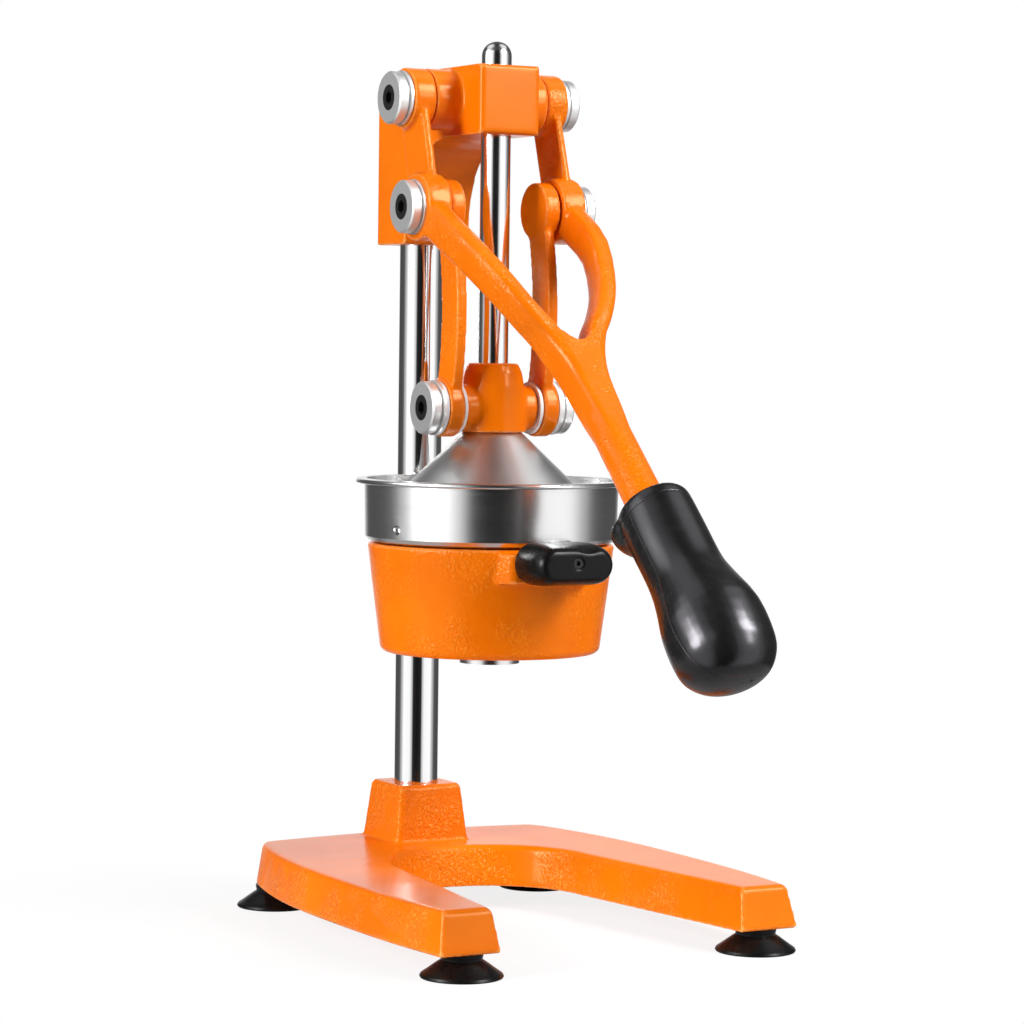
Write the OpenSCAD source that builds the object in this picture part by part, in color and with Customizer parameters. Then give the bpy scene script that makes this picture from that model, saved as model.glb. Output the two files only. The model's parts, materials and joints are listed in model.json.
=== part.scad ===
// Lever citrus juice press, in millimetres, with +Z up and the front along -Y.
// The origin lies on the ram's axis, on the counter under the juice spout.
// The press is drawn closed, with the lever pulled down.

/* [Ram and column] */
// Diameter of the sliding ram
ram_d = 13.2; // [12:0.1:14]
// Height of the ram's round top over the head with the press closed
ram_stand = 11.1; // [8:0.1:20]
// Diameter of the column
column_d = 20; // [18:0.1:20.4]
// Gap between the bowl's rim and the column
rim_gap = 0.4; // [0.3:0.1:6]

/* [Linkage] */
// Distance of the lever's fixed pivot behind the ram's axis
pivot_y = 15.7; // [13:0.1:18]
// Distance from the lever's fixed pivot to its link pivot
crank_len = 50; // [47:0.1:53]
// Forward lean of the cranks with the press closed, in degrees
crank_lean = 16.8; // [12:0.1:20]
// Distance between the two pivots of a link
link_len = 87; // [84:0.1:92]

/* [Pivot stack] */
// Distance of the head's trunnion ends from the middle plane
trunnion_x = 27.4; // [25:0.1:30]
// Width of the lever's eyes at the fixed pivot
eye_w = 10.2; // [8:0.1:12]
// Width of the lever's bosses at the link pivot
boss_w = 11.2; // [9:0.1:13]
// Width of a link's eyes
link_eye_w = 7.2; // [6:0.1:8]
// Gap between faces that turn past each other
side_gap = 0.4; // [0.3:0.05:0.6]
// Gap between the lever's bosses and the links
link_gap = 0.8; // [0.5:0.1:1.5]
// Thickness of the plastic washers on the lower pivot
washer_t = 1.4; // [1:0.1:2]
// Diameter of the plastic washers
washer_d = 23; // [20:0.1:24]
// Diameter of the metal caps
cap_d = 23; // [20:0.1:25]
// Thickness of the metal caps
cap_t = 6.5; // [5:0.1:8]
// Height of the steps turned in the metal caps
cap_step = 1; // [0.6:0.1:1.2]
// Height of the heads of the pivot bolts, sunk in the caps
bolt_head_h = 4.5; // [3.5:0.1:5]
// Shank diameter of the pivot bolts
bolt_d = 8; // [6:0.1:9]
// Head diameter of the pivot bolts
bolt_head_d = 11.2; // [10:0.1:12]
// Width across the flats of the pivot bolts' sockets
bolt_hex = 5; // [4:0.5:6]

/* [Head] */
// Width of the head's guide block and arm
head_w = 29.4; // [26:0.2:32]
// Distance of the head's front face before the ram's axis
head_front = 13.5; // [12:0.1:16]
// Rise of the head's top above the lever's fixed pivot
head_rise = 14.6; // [14:0.1:18]
// Drop of the head's underside below the lever's fixed pivot
head_drop = 15.8; // [14:0.1:18]
// Distance that the head's flat top reaches behind the ram's axis
head_flat = 34; // [30:0.5:40]
// Fall of the head's top from its flat to its back
head_fall = 16; // [10:0.5:18]
// Length of the clamp block down the column, at its back
clamp_len = 60.9; // [50:0.1:70]
// Metal of the clamp block on each side of the column
clamp_side_t = 6.6; // [5:0.1:9]
// Metal of the clamp block before and behind the column
clamp_back_t = 5; // [4:0.1:8]
// Radius of the hollow corner between the arm and the clamp block
arm_fillet = 37; // [20:1:38]
// Diameter of the head's trunnions
trunnion_d = 26.8; // [24:0.2:28]
// Rounding of the head's edges
head_edge = 2; // [1:0.1:3]
// Solid metal left over the column's upper end
clamp_roof = 12; // [8:0.5:20]
// Depth of the tapped holes in the trunnions
bolt_bite = 11.5; // [8:0.1:14]

/* [Lever] */
// Diameter of the lever's eyes at the fixed pivot
eye_d = 26.6; // [24:0.2:28]
// Diameter of the lever's bosses at the link pivot
boss_d = 29.2; // [26:0.2:30]
// Width of a crank's flat web
crank_w = 21.2; // [16:0.2:23]
// Thickness of a crank's flat web
crank_t = 3.8; // [3:0.1:6]
// Distance from the link pivots forward to where the arms meet
fork_reach = 87; // [80:0.5:95]
// Drop from the link pivots to where the arms meet
fork_drop = 78; // [72:0.5:84]
// Width of a fork arm
arm_w = 16.4; // [13:0.2:17]
// Thickness of a fork arm
arm_t = 9.8; // [8:0.2:11]
// Slope of the lever's bar below level, in degrees
bar_slope = 43.6; // [38:0.1:50]
// Length of the bar from the arms to the grip
bar_len = 59; // [50:0.5:70]
// Diameter of the bar
bar_d = 16.9; // [15:0.1:18]
// Diameter of the tang that the grip is pushed on
tang_d = 12; // [10:0.1:14]
// Length of the tang
tang_len = 76; // [50:0.5:80]
// Length of the lever's grip
grip_len = 107; // [95:0.5:120]
// Largest diameter of the lever's grip
grip_d = 42.5; // [38:0.5:46]

/* [Links] */
// Diameter of a link's upper eye
link_top_d = 25; // [23:0.2:27]
// Diameter of a link's lower eye
link_low_d = 25.4; // [23:0.2:27]
// Width of a link between its eyes
link_w = 15.6; // [14:0.2:19]
// Thickness of a link between its eyes
link_t = 4.8; // [4:0.1:5.6]
// Forward bow of a link
link_bow = 6.4; // [4:0.1:10]
// Setback of a link's bar from the inner faces of its eyes
link_set = 0.5; // [0:0.1:1]
// Depth of the blind hole in a link's upper eye
link_seat = 4.5; // [3:0.1:5]

/* [Hub and press cone] */
// Rise of the hub's top above its trunnions
hub_rise = 19.7; // [18:0.1:24]
// Drop of the hub's underside below its trunnions
hub_drop = 10.6; // [10.4:0.1:12]
// Diameter of the hub's underside
hub_low_d = 30; // [26:0.2:34]
// Diameter of the hub's top
hub_top_d = 21.8; // [20:0.2:24]
// Diameter of the hub's trunnions
hub_trunnion_d = 19.8; // [17:0.2:20.6]
// Diameter of the flat top of the press cone
cone_top_d = 27; // [20:0.2:29]
// Diameter of the mouth of the press cone
cone_d = 91; // [84:0.5:96]
// Height of the press cone
cone_h = 33.5; // [28:0.5:40]
// Gap between the press cone's mouth and the strainer's floor with the press closed
cone_gap = 4.2; // [3:0.1:8]
// Thickness of the press cone's sheet
cone_t = 1.2; // [0.8:0.1:1.6]

/* [Bowl, strainer and cup] */
// Height of the cup's upper edge
cup_top_z = 168.4; // [150:0.1:180]
// Height of the bowl's rolled rim over the cup's edge
band_h = 28.2; // [27:0.1:34]
// Width of the ring between the press cone's mouth and the strainer's wall
ring_w = 8.1; // [6:0.1:12]
// How far the rolled rim stands out from the bowl's band
rim_reach = 3.7; // [3:0.1:5]
// Diameter of the rolled edge's wire
rim_roll = 2.2; // [1.6:0.1:2.6]
// Thickness of the bowl's sheet
bowl_t = 1; // [0.8:0.1:1.2]
// Height of the cup
cup_h = 47.9; // [44:0.1:54]
// Inset of the cup's upper edge from the bowl's band
cup_inset = 1.7; // [1:0.1:3]
// How much the cup's radius narrows to its underside
cup_taper = 5.8; // [3:0.1:8]
// Thickness of the cup's wall
cup_t = 3.6; // [3:0.1:5]
// Inner diameter of the juice spout
spout_d = 24.4; // [20:0.2:26]
// Direction of the first of the three dimples in the band, in degrees
dimple_turn = 195; // [180:1:300]
// Radius of the dimples
dimple_r = 3.1; // [2.6:0.1:3.4]
// Height of the dimples over the cup's edge
dimple_rise = 7.1; // [6:0.1:9]
// How far the spout stands out below the cup
spout_drop = 5; // [2:0.1:8]
// How much lower the strainer's dome is than the press cone
dome_gap = 7.5; // [6.5:0.1:12]
// Distance of the dome's foot inside the press cone's mouth
dome_side_gap = 6.2; // [5:0.1:10]
// Diameter of the strainer's drain holes
drain_d = 3; // [2:0.1:3.4]
// Height of the collar that holds the cup on the column
collar_h = 32; // [24:0.5:36]
// Height of the collar's underside over the cup's
collar_rise = 5.7; // [4:0.1:10]
// Wall of the collar round the column
collar_t = 7; // [6:0.1:7.5]

/* [Cup grip] */
// Width of the grip on the cup
cup_grip_w = 39; // [30:0.2:40]
// Depth of the grip on the cup, front to back
cup_grip_len = 22.4; // [20:0.2:28]
// Height of the grip on the cup
cup_grip_h = 18.2; // [15:0.2:20]
// Distance of that grip's middle below the cup's edge
cup_grip_drop = 5.4; // [4.5:0.1:6.5]
// Height of that grip's front face
cup_grip_front_h = 13.4; // [11:0.2:15]
// Edge radius of the grip on the cup
cup_grip_edge = 1.6; // [1:0.1:2]

/* [Base] */
// Height of the base's underside over the counter
base_z = 10; // [9:0.1:12]
// Height of the base itself, up to its flat top
base_h = 18.4; // [16:0.1:22]
// Widest measure of the base's flat top
base_w = 173; // [165:0.5:180]
// Distance of the base's top edge before the ram's axis
base_front = 116; // [110:0.5:120]
// Width of the ledge behind the pedestal
base_ledge = 4.8; // [4:0.1:12]
// Outward slope of the base's sides, from top to bottom
base_draft = 3.1; // [2:0.1:4]
// Width of the base on each side of the bay's round end
bay_side_w = 40.5; // [38:0.5:46]
// Distance of the bay's round centre before the ram's axis
bay_y = 8; // [4:0.5:12]
// Width of a leg at the front
leg_w = 26.5; // [25:0.5:32]
// Rounding of the base's edges
base_edge = 1.6; // [1:0.1:2]
// Height of the pedestal over the base
pedestal_h = 26; // [20:0.5:34]
// Metal of the pedestal round the column at its top
pedestal_t = 5.5; // [4:0.1:8]
// How far the pedestal's sides spread to its foot
pedestal_spread = 3.1; // [2:0.1:5]
// Depth of the pocket under the column's washer
pocket_h = 10; // [9:0.1:11]
// Metal between that pocket and the column
pocket_roof = 6; // [4:0.1:8]

/* [Feet] */
// Diameter of a suction foot
foot_d = 34.4; // [30:0.2:36]
// Diameter of a suction foot's neck
foot_neck_d = 17.6; // [16:0.2:19]
// Distance of the front feet in from the base's widest sides
foot_front_side = 16; // [14:0.5:18]
// Distance of the front feet behind the base's front edge
foot_front_in = 5.5; // [4:0.5:10]
// Distance of the rear feet in from the base's widest sides
foot_rear_side = 19; // [17:0.5:26]
// Distance of the rear feet before the base's back edge
foot_rear_in = 16.5; // [15:0.5:22]

/* [Hidden] */
$fn = 64;

// Clearances and small sizes
cut = 1;                        // overrun of every cut
film = 0.02;                    // thickness of the slices that a hull joins
fit = 0.05;                     // radial clearance of running fits
seat = 0.03;                    // radial clearance of fixed fits
stud_d = 6;                     // foot studs and set screws
tap_d = stud_d;                 // tapped holes are drawn at the screw's diameter
grub_hex = stud_d / 2;
m8_d = 8;                       // bolt under the column
m8_head_h = 5.3;
m8_hex = 13;
plate_t = 1.6;                  // steel washer under the column
small_screw_d = 3;              // screw of the cup's grip
small_head_d = 4.6;
small_head_h = 1.8;
small_hex = 2;
small_sink = 0.6;               // how far that screw's head lies below the grip's front

// Bowl and cup, from the press cone outward
band_d = cone_d + 2 * (ring_w + side_gap + bowl_t * 2);
rim_d = band_d + 2 * rim_reach;
rim_z = cup_top_z + band_h;
cup_z = cup_top_z - cup_h;
cup_top_d = band_d - 2 * cup_inset;
cup_low_d = cup_top_d - 2 * cup_taper;
cup_floor_z = cup_z + cup_t;
cup_grip_z = cup_top_z - cup_grip_drop;
dimple_z = cup_top_z + dimple_rise;
strainer_z = dimple_z + dimple_r;
dome_r = cone_d / 2 - dome_side_gap;
dome_h = cone_h - dome_gap;

// Places along the linkage, from the strainer upward
hub_z = strainer_z + bowl_t + cone_gap + cone_h;
low_z = hub_z + hub_drop;
mid_y = pivot_y - crank_len * sin(crank_lean);
mid_z = low_z + sqrt(link_len * link_len - mid_y * mid_y);
pivot_z = mid_z + crank_len * cos(crank_lean);
eye_x = trunnion_x + side_gap;
top_cap_x = eye_x + eye_w + side_gap;
mid_cap_x = eye_x + boss_w;
link_out_x = eye_x - link_gap;
link_in_x = link_out_x - link_eye_w;
hub_end_x = link_in_x - side_gap - washer_t;
low_washer_x = link_out_x + side_gap;
low_cap_x = low_washer_x + washer_t;

// Head
pin_hole_d = bolt_d + 2 * fit;
head_top_z = pivot_z + head_rise;
head_under_z = pivot_z - head_drop;
head_back_z = head_top_z - head_fall;
clamp_z = head_back_z - clamp_len;
clamp_w = column_d + 2 * clamp_side_t;
clamp_depth = column_d + 2 * clamp_back_t;

// Hub, cone and ram
hub_top_z = low_z + hub_rise;
ram_top_z = head_top_z + ram_stand;
cone_screw_d = 6;
cone_screw_len = 14;
cone_screw_head_d = 12;
cone_screw_head_h = 3.6;

// Column and its seats
column_y = rim_d / 2 + rim_gap + column_d / 2;
washer_seat_z = base_z + pocket_h;
column_seat_z = washer_seat_z + pocket_roof;
column_top_slope = (head_top_z - head_back_z) / (column_y + clamp_depth / 2 - head_flat);
column_top_z = head_top_z - column_top_slope * (column_y - head_flat) - clamp_roof;
column_tap = 20;

// Base and feet
base_top_z = base_z + base_h;
pedestal_z = base_top_z + pedestal_h;
pedestal_w = column_d + 2 * pedestal_t;
pedestal_low_w = pedestal_w + 2 * pedestal_spread;
base_back = column_y + pedestal_low_w / 2 + base_ledge;
bay_r = base_w / 2 - bay_side_w;
bay_w = base_w - 2 * leg_w;
foot_front_x = base_w / 2 - foot_front_side;
foot_front_y = base_front - foot_front_in;
foot_rear_x = base_w / 2 - foot_rear_side;
foot_rear_y = base_back - foot_rear_in;

// Cup and bowl
collar_r = column_d / 2 + collar_t;
collar_z = cup_z + collar_rise;
spout_z = cup_z - spout_drop;
funnel_top_r = cup_top_d / 2 - cup_t - bowl_t;
funnel_neck_z = cup_floor_z + spout_d * 0.12;
lug_top_z = cup_top_z - cup_t * 0.5;
lug_z = lug_top_z - cup_grip_h * 0.7;
tongue_w = cup_grip_w * 0.5;
tongue_h = cup_grip_h * 0.34;
tongue_mid_z = cup_grip_z + cup_grip_h * 0.06;
tongue_len = cup_grip_len * 0.62;
grip_back_y = rim_d / 2 - cup_t;

// Share of the cup grip's depth over which it keeps its full height
cup_grip_straight_share = 0.3;

// Heights of the head's set screws: shares of the clamp block's length
head_screw_shares = [0.25, 0.7];

// Rings of drain holes: share of the strainer's radius, and the count of holes
drain_shares = [[0.87, 24], [0.6, 16], [0.45, 12], [0.3, 8]];

// Crotch of the fork: shares of its reach and drop
crotch_shares = [0.845, 0.775];

// Lobe under the grip's front: its place along the grip, its drop, its start, and its size,
// in shares of the grip's length and radius
lobe_along_share = 0.127;
lobe_drop_share = 0.335;
lobe_start_share = 0.11;
lobe_size_shares = [0.755, 0.59, 0.59];

// Base outline: shares of its half width and of its front and back reach
side_shares = [
    [0.95, -1], [0.985, -0.75], [1.0, -0.45], [0.998, -0.12],
    [0.985, 0.15], [0.955, 0.4], [0.9, 0.66], [0.845, 0.84], [0.8, 0.91]
];
back_shares = [[0.78, 0.925], [0.5, 0.968], [0.25, 0.992], [0, 1]];

// Path of a fork arm from the link pivot to the bar: shares of its sideways offset,
// of the fork's reach and drop, and of the arm's width and thickness
arm_shares = [
    [1, 0, 0, 1.05, 1.05], [1.015, 0.2, 0.118, 1.03, 1.04], [0.96, 0.393, 0.24, 1, 1],
    [0.784, 0.578, 0.41, 0.98, 0.97], [0.65, 0.67, 0.521, 0.97, 0.96],
    [0.494, 0.735, 0.626, 0.97, 0.96], [0.371, 0.772, 0.694, 0.98, 0.97],
    [0.257, 0.832, 0.788, 1, 0.97], [0.162, 0.912, 0.894, 1, 0.96],
    [0.115, 1, 1, 1, 0.92], [0.1, 1.13, 1.138, 0.96, 0.8], [0.075, 1.25, 1.265, 0.88, 0.68],
    [0.045, 1.39, 1.415, 0.76, 0.54]
];

// Outline of the lever's grip: shares of its length, then of its largest radius
// for the sideways shift of its middle, its radius and its half width, and the tilt of each ring
grip_shares = [
    [0.087, 0.03, 0.44, 0.44, 0], [0.092, 0.05, 0.6, 0.57, 0], [0.1, 0.08, 0.72, 0.68, 0],
    [0.115, 0.1, 0.775, 0.73, 0], [0.16, 0.115, 0.775, 0.74, -4], [0.27, 0.115, 0.76, 0.76, -6],
    [0.4, 0.115, 0.75, 0.76, 0], [0.48, 0.115, 0.775, 0.785, 4], [0.563, 0.13, 0.85, 0.86, 5],
    [0.697, 0.145, 0.995, 1, 2], [0.838, 0.1, 0.985, 0.99, -2], [0.9, 0.085, 0.865, 0.87, -5],
    [0.941, 0.07, 0.68, 0.68, -8], [0.963, 0.06, 0.43, 0.43, -9], [0.971, 0.055, 0.12, 0.12, -9]
];

// Helpers: curves and swept bodies
function smooth_point(a, b, c, d, t) =
    0.5 * (2 * b + (c - a) * t + (2 * a - 5 * b + 4 * c - d) * t * t
    + (3 * b - a - 3 * c + d) * t * t * t);

function smooth_rows(rows, steps) = [
    for (i = [0 : len(rows) - 2])
        for (k = [0 : steps - 1])
            smooth_point(rows[max(i - 1, 0)], rows[i], rows[i + 1],
                rows[min(i + 2, len(rows) - 1)], k / steps),
    rows[len(rows) - 1]
];

function arc_points(centre, r, from, to, count) = [
    for (i = [0 : count])
        let (a = from + (to - from) * i / count)
        [centre[0] + r * cos(a), centre[1] + r * sin(a)]
];

// An outline whose corners, each given with its radius, are rounded
function unit(v) = v / norm(v);

function corner_arc(a, b, c, r) =
    let (
        u = unit([a[0] - b[0], a[1] - b[1]]),
        v = unit([c[0] - b[0], c[1] - b[1]]),
        half = acos(u * v) / 2,
        centre = [b[0], b[1]] + unit(u + v) * r / sin(half),
        p = [b[0], b[1]] + u * r / tan(half) - centre,
        q = [b[0], b[1]] + v * r / tan(half) - centre,
        from = atan2(p[1], p[0]),
        turn = (atan2(q[1], q[0]) - from + 540) % 360 - 180,
        count = max(3, ceil(abs(turn) / 9))
    )
    arc_points(centre, r, from, from + turn, count);

function rounded(rows) = [
    for (i = [0 : len(rows) - 1])
        let (a = rows[(i + len(rows) - 1) % len(rows)], c = rows[(i + 1) % len(rows)])
        each corner_arc(a, rows[i], c, rows[i][2])
];

function place(row) = [row[0], row[1], row[2]];

function heading(rows, i) =
    let (v = place(rows[min(i + 1, len(rows) - 1)]) - place(rows[max(i - 1, 0)])) v / norm(v);

function sideways(t) = let (v = [1, 0, 0] - t[0] * t) v / norm(v);

function bulge(c, power) = sign(c) * pow(abs(c), 2 / power);

// One ring of a swept body: a row holds a place, a half width and a half thickness
function ring(rows, i, sides, power) =
    let (t = heading(rows, i), v = sideways(t), u = cross(t, v), row = rows[i])
    [for (k = [0 : sides - 1])
        let (a = 360 * k / sides)
        place(row) + u * row[3] * bulge(cos(a), power) + v * row[4] * bulge(sin(a), power)];

module sweep(rows, sides, power) {
    skin([for (i = [0 : len(rows) - 1]) ring(rows, i, sides, power)]);
}

// Joins rings of points, each with the same count, into one closed body
module skin(rings) {
    last = len(rings) - 1;
    sides = len(rings[0]);
    points = [for (r = rings) each r];
    walls = [
        for (i = [0 : last - 1])
            for (k = [0 : sides - 1])
                let (a = i * sides + k, b = i * sides + (k + 1) % sides)
                each [[a, b, b + sides], [a, b + sides, a + sides]]
    ];
    near = [for (k = [0 : sides - 1]) sides - 1 - k];
    far = [for (k = [0 : sides - 1]) last * sides + k];
    polyhedron(points, concat([near], walls, [far]), convexity = 6);
}

// Draws a child once on the right, or mirrored on the left
module on_side(side) {
    mirror([side < 0 ? 1 : 0, 0, 0]) children();
}

// Turns a child drawn along +Z so that it points along +X from a place
module along_x(x, y, z) {
    translate([x, y, z]) rotate([0, 90, 0]) children();
}

// Extrudes a profile drawn in Y and Z across the middle plane
module across(width) {
    rotate([90, 0, 90]) translate([0, 0, -width / 2]) linear_extrude(width) children();
}

module ring_solid(r, hole_r, h) {
    difference() {
        cylinder(r = r, h = h);
        translate([0, 0, -cut]) cylinder(r = hole_r, h = h + 2 * cut);
    }
}

// Fasteners
module pivot_cap(x, y, z) {
    r = cap_d / 2;
    along_x(x, y, z) difference() {
        rotate_extrude() polygon([
            [pin_hole_d / 2, 0], [r + cap_step / 2, 0], [r + cap_step / 2, cap_step],
            [r - cap_step, cap_step * 1.4], [r - cap_step, cap_step * 2],
            [r, cap_step * 2.4], [r, cap_t - cap_step * 0.7], [r - cap_step * 0.7, cap_t],
            [pin_hole_d / 2, cap_t]
        ]);
        translate([0, 0, cap_t - bolt_head_h]) cylinder(r = bolt_head_d / 2 + seat, h = cap_t);
    }
}

// A socket bolt whose shank runs inward from its head, in a cap that starts at x
module pivot_bolt(x, y, z, reach) {
    along_x(x, y, z) difference() {
        union() {
            translate([0, 0, -reach]) cylinder(r = bolt_d / 2, h = reach + cap_t - bolt_head_h + film);
            translate([0, 0, cap_t - bolt_head_h]) cylinder(r = bolt_head_d / 2, h = bolt_head_h);
        }
        translate([0, 0, cap_t - bolt_head_h * 0.7])
            cylinder(r = bolt_hex / sqrt(3), h = cap_t, $fn = 6);
    }
}

module grub_screw(h) {
    difference() {
        cylinder(r = stud_d / 2, h = h);
        translate([0, 0, h / 2]) cylinder(r = grub_hex / sqrt(3), h = h, $fn = 6);
    }
}

// Frame
module base_outline(grow) {
    front = [for (p = smooth_rows(side_shares, 3))
        let (reach = p[1] < 0 ? base_front : base_back)
        [p[0] * base_w / 2 + grow, p[1] * reach - (p[1] == -1 ? grow * 1.4 : 0)]];
    back = [for (p = back_shares) [p[0] * base_w / 2, p[1] * base_back + grow]];
    right = concat(front, back);
    left = [for (i = [len(right) - 2 : -1 : 0]) [-right[i][0], right[i][1]]];
    polygon(concat(right, left));
}

module base_slice(z, grow) {
    translate([0, 0, z - film]) linear_extrude(film) base_outline(grow);
}

// The bay between the legs: a round end and a wedge that opens to the front
module bay_wedge_slice(z, grow) {
    reach = base_front * 1.2;
    flare = (bay_w / 2 - bay_r) / (base_front - bay_y);
    front_x = bay_r + grow + flare * (reach - bay_y);
    translate([0, 0, z]) linear_extrude(film) polygon([
        [bay_r + grow, -bay_y], [-bay_r - grow, -bay_y], [-front_x, -reach], [front_x, -reach]
    ]);
}

module bay_cut(low_z, low_grow, high_z, high_grow) {
    hull() {
        bay_wedge_slice(low_z, low_grow);
        bay_wedge_slice(high_z - film, high_grow);
    }
    translate([0, -bay_y, low_z])
        cylinder(r1 = bay_r + low_grow, r2 = bay_r + high_grow, h = high_z - low_z, $fn = 96);
}

module pedestal_slice(z, width) {
    r = base_edge * 1.5;
    translate([0, column_y, z - film]) linear_extrude(film) hull() {
        for (sx = [-1, 1])
            for (sy = [-1, 1])
                translate([sx * (width / 2 - r), sy * (width / 2 - r)]) circle(r = r, $fn = 16);
    }
}

module foot_places() {
    for (side = [-1, 1]) {
        translate([side * foot_front_x, -foot_front_y, 0]) children();
        translate([side * foot_rear_x, foot_rear_y, 0]) children();
    }
}

module base() {
    slope = base_draft / (base_top_z - base_z);
    head_r = m8_hex / sqrt(3) + plate_t;
    color([0.95, 0.42, 0.03]) difference() {
        union() {
            difference() {
                hull() {
                    base_slice(base_z + film, base_draft - base_edge / 2);
                    base_slice(base_z + base_edge / 2, base_draft);
                    base_slice(base_top_z - base_edge, slope * base_edge);
                    base_slice(base_top_z - base_edge * 0.3, -base_edge * 0.3);
                    base_slice(base_top_z, -base_edge);
                }
                bay_cut(base_z - cut, -base_draft - slope * cut, base_top_z + cut, slope * cut);
                bay_cut(base_top_z - base_edge, -slope * base_edge, base_top_z + film, base_edge);
            }
            hull() {
                pedestal_slice(base_top_z - base_edge, pedestal_low_w);
                pedestal_slice(pedestal_z - base_edge, pedestal_w + base_edge * 0.4);
                pedestal_slice(pedestal_z, pedestal_w - base_edge);
            }
        }
        translate([0, column_y, column_seat_z]) cylinder(r = column_d / 2 + seat, h = pedestal_z);
        translate([0, column_y, base_z - cut]) cylinder(r = m8_d / 2 + seat, h = pedestal_z);
        translate([0, column_y, base_z - cut])
            cylinder(r = head_r + seat, h = washer_seat_z - base_z + cut);
        foot_places() translate([0, 0, base_z - cut])
            cylinder(r = tap_d / 2, h = stud_d * 1.4 + cut);
    }
}

module column() {
    color([0.8, 0.8, 0.82]) difference() {
        translate([0, column_y, column_seat_z])
            cylinder(r = column_d / 2, h = column_top_z - column_seat_z);
        translate([0, column_y, column_seat_z - cut]) cylinder(r = m8_d / 2, h = column_tap + cut);
    }
}

module column_washer() {
    color([0.7, 0.7, 0.72]) translate([0, column_y, washer_seat_z - plate_t])
        ring_solid(m8_hex / sqrt(3) + plate_t, m8_d / 2 + seat, plate_t);
}

module column_bolt() {
    top = washer_seat_z - plate_t;
    color([0.6, 0.6, 0.62]) translate([0, column_y, 0]) {
        translate([0, 0, top - m8_head_h]) cylinder(r = m8_hex / sqrt(3), h = m8_head_h, $fn = 6);
        translate([0, 0, top - film]) cylinder(r = m8_d / 2, h = column_seat_z + column_tap * 0.8 - top);
    }
}

module foot() {
    r = foot_d / 2;
    neck = foot_neck_d / 2;
    lip = foot_d / 30;
    color([0.06, 0.06, 0.065]) difference() {
        rotate_extrude() polygon([
            [0, base_z * 0.35], [r * 0.3, base_z * 0.33], [r * 0.72, base_z * 0.12],
            [r * 0.9, 0], [r - lip * 0.3, 0], [r, lip * 0.5], [r - lip * 0.4, lip * 1.3],
            [r * 0.86, base_z * 0.28], [neck * 1.18, base_z * 0.6], [neck * 0.97, base_z * 0.72],
            [neck * 0.97, base_z * 0.84], [neck, base_z * 0.86], [neck, base_z], [0, base_z]
        ]);
        translate([0, 0, base_z * 0.55]) cylinder(r = stud_d / 2, h = base_z);
        translate([0, 0, base_z * 0.45]) cylinder(r = stud_d * 0.8, h = base_z * 0.2);
    }
}

module foot_studs() {
    color([0.6, 0.6, 0.62]) foot_places() {
        translate([0, 0, base_z * 0.55]) cylinder(r = stud_d / 2, h = base_z * 0.45 + stud_d * 1.2);
        translate([0, 0, base_z * 0.45]) cylinder(r = stud_d * 0.8, h = base_z * 0.2);
    }
}

// The head: guide block, arm, clamp block and the lever's two trunnions
module head_profile() {
    front = column_y - clamp_depth / 2;
    back = column_y + clamp_depth / 2;
    polygon(rounded([
        [-head_front, head_under_z, head_edge], [-head_front, head_top_z, head_edge],
        [head_flat, head_top_z, arm_fillet * 0.6], [back, head_back_z, head_edge * 2],
        [back, clamp_z, head_edge], [front, clamp_z, head_edge],
        [front, head_under_z, arm_fillet]
    ]));
}

module head_plan() {
    front = column_y - clamp_depth / 2;
    back = column_y + clamp_depth / 2;
    soft = arm_fillet * 0.3;
    polygon(rounded([
        [-head_w / 2, -head_front, head_edge], [head_w / 2, -head_front, head_edge],
        [head_w / 2, head_flat, soft], [clamp_w / 2, front, soft],
        [clamp_w / 2, back, head_edge * 2], [-clamp_w / 2, back, head_edge * 2],
        [-clamp_w / 2, front, soft], [-head_w / 2, head_flat, soft]
    ]));
}

module head() {
    color([0.95, 0.42, 0.03]) difference() {
        union() {
            intersection() {
                across(clamp_w + 2 * cut) head_profile();
                translate([0, 0, clamp_z - cut]) linear_extrude(head_top_z - clamp_z + 2 * cut) head_plan();
            }
            for (side = [-1, 1]) on_side(side) {
                along_x(0, pivot_y, pivot_z) cylinder(r = trunnion_d / 2, h = trunnion_x);
                along_x(0, pivot_y, pivot_z)
                    cylinder(r = trunnion_d / 2 + side_gap, h = head_w / 2 + side_gap * 2);
            }
        }
        translate([0, 0, head_under_z - cut])
            cylinder(r = ram_d / 2 + fit, h = head_top_z - head_under_z + 2 * cut);
        translate([0, column_y, clamp_z - cut])
            cylinder(r = column_d / 2 + seat, h = column_top_z - clamp_z + cut);
        for (side = [-1, 1]) on_side(side)
            along_x(trunnion_x - bolt_bite, pivot_y, pivot_z)
                cylinder(r = bolt_d / 2, h = bolt_bite + cut);
        head_screw_places() cylinder(r = tap_d / 2, h = clamp_depth);
    }
}

// Two set screws from the back of the clamp block to the column
module head_screw_places() {
    for (share = head_screw_shares)
        translate([0, column_y + column_d / 2, clamp_z + (head_back_z - clamp_z) * share])
            rotate([-90, 0, 0]) children();
}

module head_set_screws() {
    color([0.2, 0.2, 0.21]) head_screw_places()
        grub_screw(clamp_depth / 2 - column_d / 2 - side_gap);
}

// The cup with its collar, and the lug that carries its grip
module cup_shell() {
    r = cup_top_d / 2;
    low = cup_low_d / 2;
    rotate_extrude() polygon([
        [spout_d / 2 + bowl_t + side_gap, cup_z], [low - cup_t / 2, cup_z], [low, cup_z + cup_t / 2],
        [r, cup_top_z - cup_t / 4], [r - cup_t / 4, cup_top_z], [r - cup_t, cup_top_z],
        [low - cup_t, cup_floor_z + cup_t / 2], [low - cup_t * 1.5, cup_floor_z],
        [spout_d / 2 + bowl_t + side_gap, cup_floor_z]
    ]);
}

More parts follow.
